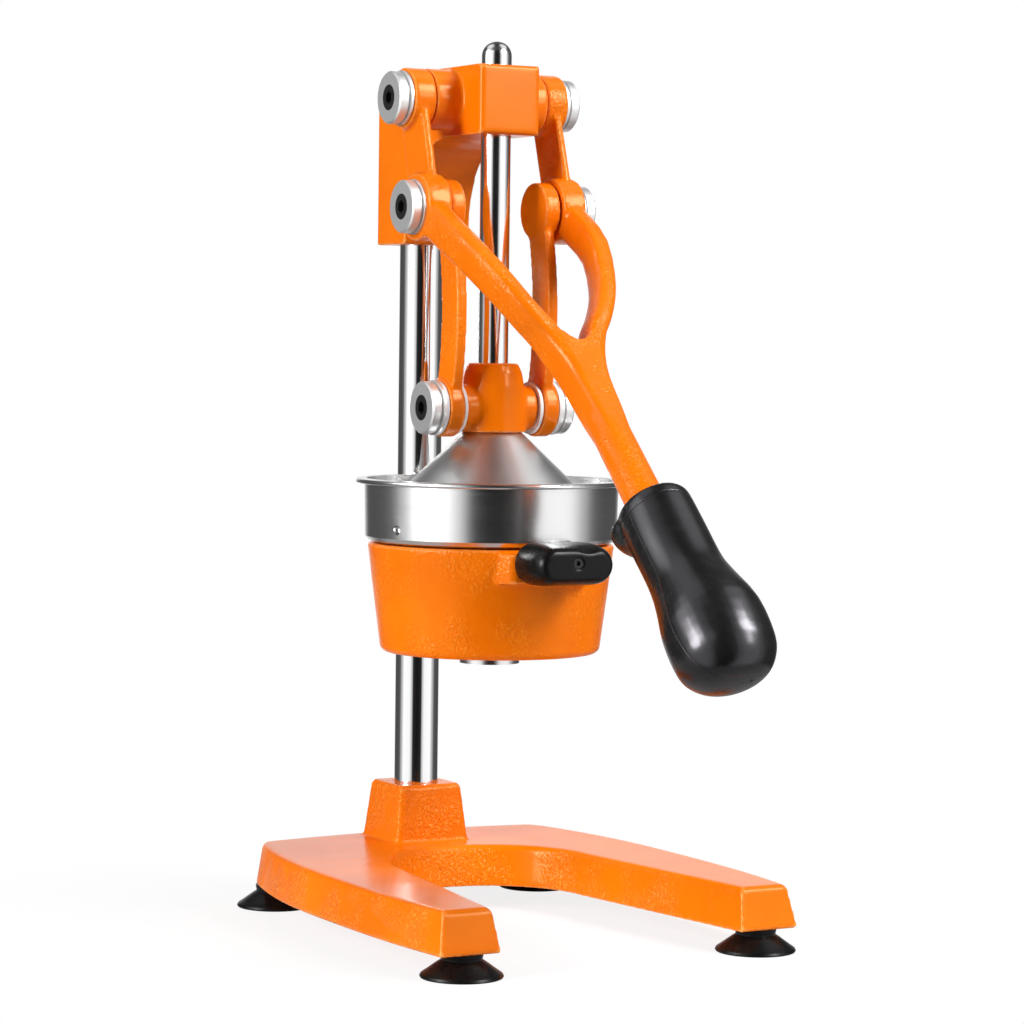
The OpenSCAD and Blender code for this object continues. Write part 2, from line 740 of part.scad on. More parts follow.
module cup_inside() {
    rotate_extrude() polygon([
        [0, cup_floor_z], [cup_low_d / 2 - cup_t * 1.5, cup_floor_z],
        [cup_low_d / 2 - cup_t, cup_floor_z + cup_t / 2],
        [cup_top_d / 2 - cup_t, cup_top_z], [cup_top_d / 2 - cup_t, cup_top_z + cut],
        [0, cup_top_z + cut]
    ]);
}

module cup_lug() {
    root = cup_top_d / 2 - cup_t;
    translate([0, 0, lug_z]) linear_extrude(lug_top_z - lug_z) polygon([
        [-cup_grip_w * 0.6, -root * 0.8], [-cup_grip_w * 0.6, -root * 0.93],
        [-cup_grip_w * 0.52, -grip_back_y * 0.97], [-cup_grip_w * 0.47, -grip_back_y],
        [cup_grip_w * 0.47, -grip_back_y], [cup_grip_w * 0.52, -grip_back_y * 0.97],
        [cup_grip_w * 0.6, -root * 0.93], [cup_grip_w * 0.6, -root * 0.8]
    ]);
    translate([-tongue_w / 2, -grip_back_y - tongue_len, tongue_mid_z - tongue_h / 2])
        cube([tongue_w, tongue_len + cup_t, tongue_h]);
}

module cup() {
    web = collar_r * 1.5;
    color([0.95, 0.42, 0.03]) difference() {
        union() {
            cup_shell();
            translate([0, column_y, collar_z]) cylinder(r = collar_r, h = collar_h);
            translate([-web / 2, cup_low_d / 2 - cup_t, collar_z])
                cube([web, column_y - cup_low_d / 2 + cup_t, collar_h]);
            cup_lug();
        }
        cup_inside();
        translate([0, column_y, collar_z - cut])
            cylinder(r = column_d / 2 + seat, h = collar_h + 2 * cut);
        cup_screw_place() cylinder(r = tap_d / 2, h = collar_r);
        cup_grip_screw_place() cylinder(r = small_screw_d / 2, h = cup_grip_len * 2, center = true);
    }
}

module cup_screw_place() {
    translate([0, column_y + column_d / 2, collar_z + collar_h / 2]) rotate([-90, 0, 0]) children();
}

module cup_set_screw() {
    color([0.2, 0.2, 0.21]) cup_screw_place() grub_screw(collar_t - side_gap);
}

// The screw's place is the mouth of its hole in the grip's front; +Z of the child points back
module cup_grip_screw_place() {
    translate([0, -grip_back_y - cup_grip_len, tongue_mid_z]) rotate([-90, 0, 0]) children();
}

// Half of the cup's grip: a round body that narrows to its flat front, with its axis along -Y
module cup_grip_end() {
    r = cup_grip_h / 2;
    front_r = cup_grip_front_h / 2;
    edge = cup_grip_edge;
    taper = [for (i = [0 : 5])
        let (a = 18 * i)
        [front_r + (r - front_r) * cos(a), cup_grip_len * cup_grip_straight_share
            + (cup_grip_len * (1 - cup_grip_straight_share) - edge) * sin(a)]];
    rotate([90, 0, 0]) rotate_extrude($fn = 32) polygon(concat(
        [[0, 0], [r - edge, 0], [r - edge * 0.3, edge * 0.3], [r, edge]],
        taper,
        [[front_r - edge * 0.3, cup_grip_len - edge * 0.3], [front_r - edge, cup_grip_len], [0, cup_grip_len]]
    ));
}

module cup_grip() {
    slack = seat * 2;
    color([0.05, 0.05, 0.055]) difference() {
        translate([0, -grip_back_y, cup_grip_z]) hull() {
            for (side = [-1, 1])
                translate([side * (cup_grip_w - cup_grip_h) / 2, 0, 0]) cup_grip_end();
        }
        translate([-tongue_w / 2 - slack, -grip_back_y - tongue_len - slack,
            tongue_mid_z - tongue_h / 2 - slack])
            cube([tongue_w + 2 * slack, tongue_len + slack + cut, tongue_h + 2 * slack]);
        cup_grip_screw_place() {
            translate([0, 0, -cut])
                cylinder(r = small_head_d / 2 + seat, h = small_head_h + small_sink + cut);
            cylinder(r = small_screw_d / 2 + seat, h = cup_grip_len);
        }
    }
}

module cup_grip_screw() {
    color([0.12, 0.12, 0.125]) cup_grip_screw_place() translate([0, 0, small_sink]) difference() {
        union() {
            cylinder(r = small_head_d / 2, h = small_head_h);
            translate([0, 0, small_head_h - film])
                cylinder(r = small_screw_d / 2, h = cup_grip_len * 0.75);
        }
        translate([0, 0, -cut]) cylinder(r = small_hex / sqrt(3), h = small_head_h * 0.7 + cut, $fn = 6);
    }
}

// The steel bowl: rolled rim, band, shoulder on the cup, funnel and spout
module bowl_shell() {
    r = band_d / 2;
    neck = spout_d / 2;
    foot_z = cup_top_z + bowl_t;
    inset = bowl_t * 2;
    rotate_extrude() polygon([
        [r, rim_z - rim_roll / 2], [r - bowl_t / 2, foot_z + inset], [r - inset, foot_z + bowl_t / 4],
        [funnel_top_r + bowl_t, cup_top_z], [neck + bowl_t, funnel_neck_z],
        [neck + bowl_t, spout_z], [neck, spout_z], [neck, funnel_neck_z + bowl_t / 2],
        [funnel_top_r, foot_z], [r - inset - bowl_t, foot_z + bowl_t],
        [r - bowl_t * 1.5, foot_z + inset + bowl_t], [r - bowl_t, rim_z - rim_roll / 2],
        [r - bowl_t, rim_z], [rim_d / 2 - rim_roll / 2, rim_z],
        [rim_d / 2 - rim_roll / 2, rim_z - bowl_t], [r, rim_z - bowl_t]
    ]);
    rotate_extrude() translate([rim_d / 2 - rim_roll / 2, rim_z - rim_roll / 2])
        circle(r = rim_roll / 2, $fn = 24);
}

module juice_bowl() {
    color([0.78, 0.78, 0.8]) difference() {
        union() {
            bowl_shell();
            intersection() {
                dimple_places() sphere(r = dimple_r);
                cylinder(r = band_d / 2 - bowl_t * 0.6, h = rim_z);
            }
        }
        dimple_places() translate([bowl_t, 0, 0]) sphere(r = dimple_r - bowl_t);
    }
}

// Three dimples pressed into the band carry the strainer
module dimple_places() {
    for (a = [dimple_turn, dimple_turn + 120, dimple_turn + 240])
        rotate([0, 0, a]) translate([band_d / 2 - bowl_t * 1.4, 0, dimple_z]) children();
}

module strainer() {
    wall_r = band_d / 2 - bowl_t * 2 - side_gap;
    wall_top = rim_z - rim_roll * 2;
    crown_r = dome_r * 0.2;
    top_z = strainer_z + dome_h;
    t = bowl_t;
    color([0.72, 0.72, 0.74]) difference() {
        rotate_extrude() polygon([
            [0, top_z], [crown_r, top_z - t / 2], [dome_r, strainer_z + t], [wall_r - t * 2, strainer_z + t],
            [wall_r - t, strainer_z + t * 2], [wall_r - t, wall_top], [wall_r, wall_top],
            [wall_r, strainer_z + t * 1.4], [wall_r - t * 1.4, strainer_z],
            [dome_r - t / 2, strainer_z], [crown_r - t / 2, top_z - t * 1.9], [0, top_z - t * 1.4]
        ]);
        for (row = drain_shares)
            for (k = [0 : row[1] - 1])
                rotate([0, 0, 360 * k / row[1]]) translate([wall_r * row[0], 0, strainer_z - cut])
                    cylinder(r = drain_d / 2, h = dome_h + 2 * cut, $fn = 16);
    }
}

// Ram assembly
module ram() {
    r = ram_d / 2;
    color([0.82, 0.82, 0.84]) difference() {
        union() {
            translate([0, 0, hub_z]) cylinder(r = r, h = ram_top_z - r - hub_z);
            translate([0, 0, ram_top_z - r]) sphere(r = r);
        }
        translate([0, 0, hub_z - cut]) cylinder(r = cone_screw_d / 2, h = cone_screw_len + cut);
    }
}

module hub() {
    top = hub_top_d / 2;
    low = hub_low_d / 2;
    color([0.95, 0.42, 0.03]) difference() {
        union() {
            rotate_extrude() polygon([
                [0, hub_z], [low - fit, hub_z], [low, hub_z + fit * 10], [low * 0.92, low_z + hub_rise * 0.5],
                [low * 0.85, low_z + hub_rise * 0.8], [top, hub_top_z], [0, hub_top_z]
            ]);
            for (side = [-1, 1]) on_side(side)
                along_x(0, 0, low_z) cylinder(r = hub_trunnion_d / 2, h = hub_end_x);
        }
        translate([0, 0, hub_z - cut]) cylinder(r = ram_d / 2 + seat, h = hub_rise + hub_drop + 2 * cut);
        for (side = [-1, 1]) on_side(side)
            along_x(ram_d / 2 + side_gap, 0, low_z) cylinder(r = bolt_d / 2, h = hub_end_x);
        hub_screw_place() cylinder(r = tap_d / 2, h = hub_low_d);
    }
}

module hub_screw_place() {
    translate([0, ram_d / 2, low_z + hub_rise * 0.35]) rotate([-90, 0, 0]) children();
}

module hub_set_screw() {
    color([0.2, 0.2, 0.21]) hub_screw_place() grub_screw(hub_low_d * 0.46 - ram_d / 2 - side_gap);
}

module press_cone() {
    top = cone_top_d / 2;
    mouth = cone_d / 2;
    slant = cone_t * 1.5;
    color([0.75, 0.75, 0.77]) difference() {
        rotate_extrude() polygon([
            [0, hub_z], [top - cone_t / 2, hub_z], [top, hub_z - cone_t / 2],
            [mouth, hub_z - cone_h + cone_t * 2], [mouth, hub_z - cone_h],
            [mouth - cone_t, hub_z - cone_h], [mouth - cone_t, hub_z - cone_h + cone_t * 1.6],
            [top - cone_t / 2, hub_z - cone_t], [0, hub_z - cone_t]
        ]);
        translate([0, 0, hub_z - slant]) cylinder(r = cone_screw_d / 2 + seat, h = slant + cut);
    }
}

module cone_screw() {
    top = hub_z - cone_t;
    color([0.6, 0.6, 0.62]) difference() {
        union() {
            translate([0, 0, top - cone_screw_head_h])
                cylinder(r1 = cone_screw_head_d * 0.42, r2 = cone_screw_head_d / 2, h = cone_screw_head_h);
            translate([0, 0, top - film])
                cylinder(r = cone_screw_d / 2, h = cone_t + cone_screw_len * 0.85);
        }
        translate([0, 0, top - cone_screw_head_h - cut])
            cylinder(r = grub_hex / sqrt(3) * 1.3, h = cone_screw_head_h / 2 + cut, $fn = 6);
    }
}

module lower_washers() {
    along_x(hub_end_x, 0, low_z) ring_solid(washer_d / 2, bolt_d / 2 + seat, washer_t);
    along_x(low_washer_x, 0, low_z) ring_solid(washer_d / 2 + fit * 10, bolt_d / 2 + seat, washer_t);
}

// Links: two bowed bars with an eye at each end
module link_profile() {
    side = [for (i = [0 : 16])
        let (t = i / 16, bow = 4 * link_bow * t * (1 - t))
        [mid_y * (1 - t) - bow, mid_z + (low_z - mid_z) * t]];
    front = [for (p = side) p - [link_w / 2, 0]];
    rear = [for (i = [16 : -1 : 0]) side[i] + [link_w / 2, 0]];
    polygon(concat(front, rear));
}

module link() {
    color([0.95, 0.42, 0.03]) difference() {
        union() {
            translate([link_in_x + link_set + link_t / 2, 0, 0]) across(link_t) link_profile();
            along_x(link_in_x, mid_y, mid_z) cylinder(r = link_top_d / 2, h = link_eye_w);
            along_x(link_in_x, 0, low_z) cylinder(r = link_low_d / 2, h = link_eye_w);
        }
        along_x(link_in_x - cut, 0, low_z) cylinder(r = pin_hole_d / 2, h = link_eye_w + 2 * cut);
        along_x(link_out_x - link_seat, mid_y, mid_z) cylinder(r = bolt_d / 2, h = link_seat + cut);
    }
}

// Lever: two cranks with eyes and bosses, two arms, the bar and its tang
web_turn = 6;
bar_start = [0, mid_y - fork_reach, mid_z - fork_drop];
bar_dir = [0, -cos(bar_slope), -sin(bar_slope)];
bar_up = [0, -sin(bar_slope), cos(bar_slope)];
grip_start = bar_start + bar_dir * bar_len;
bar_end = bar_len + grip_len * grip_shares[0][0] - side_gap;

// Turns a child drawn along +Z so that it runs down the bar from a distance along it
module along_bar(distance) {
    translate(bar_start + bar_dir * distance) rotate([90 + bar_slope, 0, 0]) children();
}

module lens(r, thickness) {
    edge = thickness * 0.16;
    rotate_extrude($fn = 40) polygon([
        [0, -thickness / 2], [r - edge, -thickness / 2], [r, edge - thickness / 2],
        [r, thickness / 2 - edge], [r - edge, thickness / 2], [0, thickness / 2]
    ]);
}

module crank() {
    hull() {
        along_x(eye_x + eye_w / 2, pivot_y, pivot_z) lens(crank_w / 2, crank_t);
        along_x(eye_x + boss_w / 2, mid_y, mid_z) lens(crank_w / 2, crank_t);
    }
}

module arm() {
    rows = [for (s = arm_shares) [
        (eye_x + boss_w / 2) * s[0], mid_y - fork_reach * s[1], mid_z - fork_drop * s[2],
        arm_w / 2 * s[3], arm_t / 2 * s[4]
    ]];
    sweep(smooth_rows(rows, 2), 20, 3.2);
}

// The web between the arms, with a round crotch
module web() {
    crotch = [0, mid_y - fork_reach * crotch_shares[0], mid_z - fork_drop * crotch_shares[1]];
    slope = bar_slope + web_turn;
    depth = arm_w * 0.86;
    r = arm_t * 0.66;
    translate(crotch) rotate([180 + slope, 0, 0]) translate([0, 0, -depth / 2])
        linear_extrude(depth) difference() {
            polygon([[-r * 1.5, -r * 0.7], [r * 1.5, -r * 0.7], [r * 0.75, r * 3.6], [-r * 0.75, r * 3.6]]);
            translate([0, -r]) circle(r = r);
        }
}

module lever() {
    color([0.95, 0.42, 0.03]) difference() {
        union() {
            for (side = [-1, 1]) on_side(side) {
                crank();
                arm();
                along_x(eye_x, pivot_y, pivot_z) cylinder(r = eye_d / 2, h = eye_w);
                along_x(eye_x, mid_y, mid_z) cylinder(r = boss_d / 2, h = boss_w);
            }
            web();
            along_bar(-bar_d * 0.45) cylinder(r = bar_d * 0.46, h = bar_d * 0.5);
            along_bar(0) cylinder(r1 = bar_d * 0.465, r2 = bar_d / 2, h = bar_end);
            along_bar(bar_end - film) cylinder(r = tang_d / 2, h = bar_len + tang_len - bar_end);
        }
        for (side = [-1, 1]) on_side(side) {
            along_x(eye_x - cut, pivot_y, pivot_z) cylinder(r = pin_hole_d / 2, h = eye_w + 2 * cut);
            along_x(eye_x - cut, mid_y, mid_z)
                cylinder(r = bolt_d / 2 + seat, h = boss_w + 2 * cut);
        }
    }
}

// One ring of the grip: a row holds its place along the bar, its shift, radius, half width and tilt
function grip_ring(row, sides) =
    let (
        centre = grip_start + bar_dir * row[0] + bar_up * row[1],
        v = bar_up * cos(row[4]) - bar_dir * sin(row[4])
    )
    [for (k = [0 : sides - 1])
        let (a = 360 * k / sides) centre + row[2] * v * cos(a) + [row[3] * sin(a), 0, 0]];

module lever_grip() {
    r = grip_d / 2;
    rows = [for (s = grip_shares) [grip_len * s[0], r * s[1], r * s[2], r * s[3], s[4]]];
    lobe = grip_start + bar_dir * grip_len * lobe_along_share - bar_up * r * lobe_drop_share;
    color([0.05, 0.05, 0.055]) difference() {
        union() {
            skin([for (row = smooth_rows(rows, 3)) grip_ring(row, 36)]);
            difference() {
                translate(lobe) rotate([90 + bar_slope, 0, 0])
                    scale(lobe_size_shares) sphere(r = r, $fn = 40);
                along_bar(bar_len + grip_len * lobe_start_share - grip_d)
                    cylinder(r = grip_d, h = grip_d);
            }
        }
        along_bar(bar_len - bar_d) cylinder(r = tang_d / 2 + seat, h = bar_d + tang_len + side_gap);
    }
}

// Pieces drawn once for the right side and mirrored for the left
module top_cap(side) {
    color([0.72, 0.73, 0.75]) on_side(side) pivot_cap(top_cap_x, pivot_y, pivot_z);
}

module top_bolt(side) {
    color([0.08, 0.08, 0.09]) on_side(side)
        pivot_bolt(top_cap_x, pivot_y, pivot_z, top_cap_x - trunnion_x + bolt_bite);
}

module mid_cap(side) {
    color([0.72, 0.73, 0.75]) on_side(side) pivot_cap(mid_cap_x, mid_y, mid_z);
}

module mid_bolt(side) {
    color([0.08, 0.08, 0.09]) on_side(side) pivot_bolt(mid_cap_x, mid_y, mid_z, boss_w);
}

module low_cap(side) {
    color([0.72, 0.73, 0.75]) on_side(side) pivot_cap(low_cap_x, 0, low_z);
}

module low_bolt(side) {
    color([0.08, 0.08, 0.09]) on_side(side)
        pivot_bolt(low_cap_x, 0, low_z, low_cap_x - ram_d / 2 - side_gap);
}

module washers(side) {
    color([0.93, 0.93, 0.9]) on_side(side) lower_washers();
}

module link_on(side) {
    on_side(side) link();
}

base();
column();
column_bolt();
column_washer();
translate([-foot_front_x, -foot_front_y, 0]) foot();  // foot_front_left
translate([foot_front_x, -foot_front_y, 0]) foot();  // foot_front_right
translate([-foot_rear_x, foot_rear_y, 0]) foot();  // foot_rear_left
translate([foot_rear_x, foot_rear_y, 0]) foot();  // foot_rear_right
foot_studs();
head();
head_set_screws();
top_cap(-1);  // top_cap_left
top_cap(1);  // top_cap_right
top_bolt(-1);  // top_bolt_left
top_bolt(1);  // top_bolt_right
cup();
cup_set_screw();
cup_grip();
cup_grip_screw();
juice_bowl();
strainer();
lever();
lever_grip();
mid_cap(-1);  // mid_cap_left
mid_cap(1);  // mid_cap_right
mid_bolt(-1);  // mid_bolt_left
mid_bolt(1);  // mid_bolt_right
ram();
hub();
hub_set_screw();
press_cone();
cone_screw();
low_cap(-1);  // low_cap_left
low_cap(1);  // low_cap_right
low_bolt(-1);  // low_bolt_left
low_bolt(1);  // low_bolt_right
washers(-1);  // washers_left
washers(1);  // washers_right
link_on(-1);  // link_left
link_on(1);  // link_right
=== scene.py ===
# Lever citrus juice press: looks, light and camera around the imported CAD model.
# Lengths are in metres, in the model's own frame: +Z up, front along -Y.
import json
import math

import bpy
import numpy as np
from mathutils import Matrix, Vector
from mathutils.bvhtree import BVHTree


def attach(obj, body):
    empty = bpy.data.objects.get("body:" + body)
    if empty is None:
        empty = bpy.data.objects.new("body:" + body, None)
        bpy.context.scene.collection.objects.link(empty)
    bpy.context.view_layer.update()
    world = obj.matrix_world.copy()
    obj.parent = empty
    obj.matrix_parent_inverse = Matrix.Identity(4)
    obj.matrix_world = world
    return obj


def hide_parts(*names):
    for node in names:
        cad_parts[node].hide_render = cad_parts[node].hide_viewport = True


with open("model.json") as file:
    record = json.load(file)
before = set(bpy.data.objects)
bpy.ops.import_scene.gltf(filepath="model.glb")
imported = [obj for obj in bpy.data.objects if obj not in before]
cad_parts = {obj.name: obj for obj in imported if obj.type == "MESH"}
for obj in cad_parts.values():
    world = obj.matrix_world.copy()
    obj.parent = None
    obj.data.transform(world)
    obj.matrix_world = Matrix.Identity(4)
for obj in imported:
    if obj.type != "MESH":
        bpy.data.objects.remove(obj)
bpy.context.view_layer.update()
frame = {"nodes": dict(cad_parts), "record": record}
nodes = frame["nodes"]
record = frame["record"]

MM = 0.001
# Stands in for a length of zero in a division
TINY = 1e-12

# The photo's camera: a long lens from the front left, a little above the bowl's rim.
# Its sensor and lens are in mm and its angles in degrees.
SENSOR_W = 36.0
LENS = 118.12
CAM_AZIMUTH = -28.654
CAM_ELEVATION = 2.860
CAM_ROLL = 0.723
CAM_DISTANCE = 1481.63 * MM
CAM_NEAR = 0.05
CAM_FAR = 30
TARGET_RIGHT = 9.16 * MM
TARGET_Z = 182.07 * MM


def direction(azimuth, elevation):
    """A unit vector away from the press; azimuth is counted from the front, in degrees."""
    a, e = math.radians(azimuth), math.radians(elevation)
    return Vector((math.sin(a) * math.cos(e), -math.cos(a) * math.cos(e), math.sin(e)))


def place_camera():
    a, r = math.radians(CAM_AZIMUTH), math.radians(CAM_ROLL)
    back = direction(CAM_AZIMUTH, CAM_ELEVATION)
    level = Vector((math.cos(a), math.sin(a), 0))
    rise = back.cross(level)
    right = level * math.cos(r) + rise * math.sin(r)
    up = rise * math.cos(r) - level * math.sin(r)
    turn = Matrix((right, up, back)).transposed().to_4x4()
    spot = level * TARGET_RIGHT + Vector((0, 0, TARGET_Z)) + back * CAM_DISTANCE
    data = bpy.data.cameras.new("camera")
    data.sensor_width = SENSOR_W
    data.lens = LENS
    data.clip_start = CAM_NEAR
    data.clip_end = CAM_FAR
    camera = bpy.data.objects.new("camera", data)
    camera.matrix_world = Matrix.Translation(spot) @ turn
    bpy.context.scene.collection.objects.link(camera)
    bpy.context.scene.camera = camera


# Cast and moulded pieces: finer copies of the CAD nodes, with soft edges and filled corners
CAST = {  # node: voxel in mm, rounds that soften the edges, rounds that fill the hollow corners
    "base": (0.85, 2, 1),
    "head": (0.7, 1, 1),
    "cup": (0.85, 2, 2),
    "lever": (0.7, 5, 10),
    "hub": (0.7, 3, 8),
    "link_left": (0.7, 3, 5),
    "link_right": (0.7, 3, 5),
    "cup_grip": (0.45, 9, 0),
    "lever_grip": (0.55, 16, 4),
}
# Share of the way to the middle of its neighbours that a point moves in one round
SOFTEN_SHARE = 0.5
FILL_SHARE = 0.6
# Rounds of filling between two looks at which way the surface faces
FILL_LOOK = 4
# The lever's end keeps its shape where it goes into the grip, and 1 mm round it
KEPT_NEAR = {"lever": ("lever_grip", 1.0)}
# Hollow for the thumb on top of the cup's grip: middle, reach and depth in mm
THUMB = ((5.5, -76.5, 171.0), 4.2, 1.3)
# Slot in the end of the lever's grip: middle, then half length, half width and depth in mm
SLOT_AT = (3.55, -205.62, 126.39)
SLOT_SIZE = (1.9, 0.7, 1.6)


class Skin:
    """The points of a mesh, moved with its edges and faces."""

    def __init__(self, mesh):
        self.mesh = mesh
        mesh.calc_loop_triangles()
        self.points = self.read(mesh.vertices, "co", 3, float)
        self.edges = self.read(mesh.edges, "vertices", 2, np.int64)
        self.faces = self.read(mesh.loop_triangles, "vertices", 3, np.int64)
        count = len(self.points)
        self.degree = np.maximum(np.bincount(self.edges.ravel(), minlength=count), 1)[:, None]
        self.free = np.ones((count, 1))

    @staticmethod
    def read(items, key, width, kind):
        values = np.empty(len(items) * width, kind)
        items.foreach_get(key, values)
        return values.reshape(-1, width)

    def gather(self, index, values):
        """Rows of values, summed up at the points that their index names."""
        count = len(self.points)
        return np.stack([np.bincount(index, values[:, i], minlength=count) for i in range(3)], 1)

    def pull(self):
        """From each point to the middle of its neighbours."""
        a, b = self.edges[:, 0], self.edges[:, 1]
        total = self.gather(a, self.points[b]) + self.gather(b, self.points[a])
        return total / self.degree - self.points

    def normals(self):
        p = self.points[self.faces]
        across = np.cross(p[:, 1] - p[:, 0], p[:, 2] - p[:, 0])
        total = sum(self.gather(self.faces[:, i], across) for i in range(3))
        return total / np.maximum(np.linalg.norm(total, axis=1, keepdims=True), TINY)

    def soften(self, rounds):
        for _ in range(rounds):
            self.points += SOFTEN_SHARE * self.pull() * self.free

    def fill(self, rounds):
        """Only moves points outward, so that hollow corners fill up like cast ones."""
        for i in range(rounds):
            if i % FILL_LOOK == 0:
                out = self.normals()
            way = self.pull()
            rise = (way * out).sum(1, keepdims=True)
            self.points += FILL_SHARE * way * (rise > 0) * self.free

    def hold_near(self, other, reach):
        """Points within a reach of another mesh stay where they are."""
        corners = [v.co for v in other.vertices]
        tree = BVHTree.FromPolygons(corners, [p.vertices for p in other.polygons])
        for i, point in enumerate(self.points):
            if tree.find_nearest(Vector(point), reach)[0] is not None:
                self.free[i] = 0.0

    def press(self, centre, reach, depth):
        """A round hollow pressed down from above."""
        gap = np.linalg.norm(self.points - np.array(centre), axis=1)
        self.points[:, 2] -= depth * np.exp(-(gap / reach) ** 2)

    def cut_slot(self, centre, half_length, half_width, depth):
        """A short slot along X, pressed into the surface."""
        off = self.points - np.array(centre)
        across = np.linalg.norm(off[:, 1:], axis=1)
        inside = (abs(off[:, 0]) < half_length) & (across < half_width)
        self.points[inside] -= depth * self.normals()[inside]

    def store(self):
        self.mesh.vertices.foreach_set("co", self.points.ravel())
        self.mesh.update()


def remeshed(name, mesh, voxel):
    """A new object in a mesh's shape, made of small even faces."""
    piece = bpy.data.objects.new(name, mesh)
    bpy.context.scene.collection.objects.link(piece)
    change = piece.modifiers.new("remesh", "REMESH")
    change.mode = "VOXEL"
    change.voxel_size = voxel
    graph = bpy.context.evaluated_depsgraph_get()
    result = bpy.data.meshes.new_from_object(piece.evaluated_get(graph))
    piece.modifiers.clear()
    piece.data = result
    return piece


def in_metres(values):
    return [v * MM for v in values]


def cast_pieces():
    """Puts each cast piece in the place of its node and returns the pieces by node."""
    bodies = {n: body for body, names in record["behaviour"]["bodies"].items() for n in names}
    pieces = {}
    for node, (voxel, soft, filled) in CAST.items():
        piece = remeshed(node + "_cast", nodes[node].data.copy(), voxel * MM)
        skin = Skin(piece.data)
        if node in KEPT_NEAR:
            other, reach = KEPT_NEAR[node]
            skin.hold_near(nodes[other].data, reach * MM)
        skin.soften(soft // 2)
        skin.fill(filled)
        skin.soften(soft - soft // 2)
        if node == "cup_grip":
            centre, reach, depth = THUMB
            skin.press(in_metres(centre), reach * MM, depth * MM)
        if node == "lever_grip":
            skin.cut_slot(in_metres(SLOT_AT), *in_metres(SLOT_SIZE))
        skin.store()
        piece.data.polygons.foreach_set("use_smooth", [True] * len(piece.data.polygons))
        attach(piece, bodies[node])
        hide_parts(node)
        pieces[node] = piece
    return pieces


# A noise's values nearly all lie between these two
NOISE_LOW = 0.3
NOISE_HIGH = 0.7


class Nodes:
    """A node tree, with short calls to add and join nodes."""

    def __init__(self, tree):
        self.tree = tree

    def add(self, kind, inputs=None, **settings):
        """A new node; an input is a plain value or the socket that feeds it."""
        node = self.tree.nodes.new(kind)
        for key, value in settings.items():
            setattr(node, key, value)
        for key, value in (inputs or {}).items():
            if isinstance(value, bpy.types.NodeSocket):
                self.tree.links.new(value, node.inputs[key])
            else:
                node.inputs[key].default_value = value
        return node

    def math(self, operation, a, b=0.0):
        return self.add("ShaderNodeMath", {0: a, 1: b}, operation=operation).outputs[0]

    def times(self, a, b):
        return self.math("MULTIPLY", a, b)

    def vector(self, operation, a, b=(0, 0, 0)):
        """The vector that a vector operation gives."""
        node = self.add("ShaderNodeVectorMath", {0: a, 1: b}, operation=operation)
        return node.outputs["Vector"]

    def measure(self, operation, a, b=(0, 0, 0)):
        """The plain number that a vector operation gives."""
        node = self.add("ShaderNodeVectorMath", {0: a, 1: b}, operation=operation)
        return node.outputs["Value"]

    def split(self, vector):
        return self.add("ShaderNodeSeparateXYZ", {0: vector}).outputs

    def join(self, x, y=0.0, z=0.0):
        return self.add("ShaderNodeCombineXYZ", {0: x, 1: y, 2: z}).outputs[0]

    def span(self, value, low, high, to_low=0.0, to_high=1.0):
        """A value's way from low to high, taken to another span and stopped at its ends."""
        return self.add("ShaderNodeMapRange", {
            0: value, 1: low, 2: high, 3: to_low, 4: to_high,
        }).outputs[0]

    def mix(self, share, first, second):
        """Two colours mixed by a share of the second one."""
        inputs = {0: share, 6: first, 7: second}
        return self.add("ShaderNodeMix", inputs, data_type="RGBA").outputs[2]

    def ramp(self, value, stops, change="LINEAR"):
        node = self.add("ShaderNodeValToRGB", {0: value})
        node.color_ramp.interpolation = change
        band = node.color_ramp.elements
        while len(band) < len(stops):
            band.new(0.5)
        for element, (spot, color) in zip(band, stops):
            element.position = spot
            element.color = (*color, 1)
        return node.outputs["Color"]


class Material(Nodes):
    """A material with one main shader, whose sockets can be set by name."""

    def __init__(self, name, color, roughness, metallic=0.0, **sockets):
        self.material = bpy.data.materials.new(name)
        self.material.use_nodes = True
        self.material.diffuse_color = (*color, 1)
        super().__init__(self.material.node_tree)
        self.shader = self.tree.nodes["Principled BSDF"]
        self.shader.inputs["Base Color"].default_value = (*color, 1)
        self.shader.inputs["Metallic"].default_value = metallic
        self.shader.inputs["Roughness"].default_value = roughness
        for socket, value in sockets.items():
            self.shader.inputs[socket.replace("_", " ")].default_value = value

    def link(self, socket, name):
        self.tree.links.new(socket, self.shader.inputs[name])

    def place(self, scale=(1, 1, 1)):
        """Object coordinates in millimetres, times a scale."""
        coords = self.add("ShaderNodeTexCoord").outputs["Object"]
        return self.vector("MULTIPLY", coords, tuple(s / MM for s in scale))

    def noise(self, where, scale, detail=2.0, rough=0.5):
        return self.add("ShaderNodeTexNoise", {
            "Vector": where, "Scale": scale, "Detail": detail, "Roughness": rough,
        }).outputs["Fac"]

    def vary_roughness(self, noise, low, high):
        self.link(self.span(noise, NOISE_LOW, NOISE_HIGH, low, high), "Roughness")

    def bump(self, height, depth):
        """Bumps in the surface, as deep as depth where the height is one."""
        inputs = {"Height": height, "Strength": 1.0, "Distance": depth}
        self.link(self.add("ShaderNodeBump", inputs).outputs[0], "Normal")

    def line(self, value, middle, half):
        """One where a value is near its middle, nothing further off."""
        off = self.math("ABSOLUTE", self.math("SUBTRACT", value, middle))
        return self.span(off, half / 2, half, 1.0, 0.0)


def gray(v):
    return (v, v, v)


# Glossy paint: its colour, two tones that it drifts between, and the tint of its reflections
PAINT = (0.83, 0.165, 0.002)
PAINT_TONES = ((NOISE_LOW, (0.79, 0.148, 0.001)), (NOISE_HIGH, (0.86, 0.185, 0.002)))
PAINT_TINT = (1, 0.7, 0.36, 1)
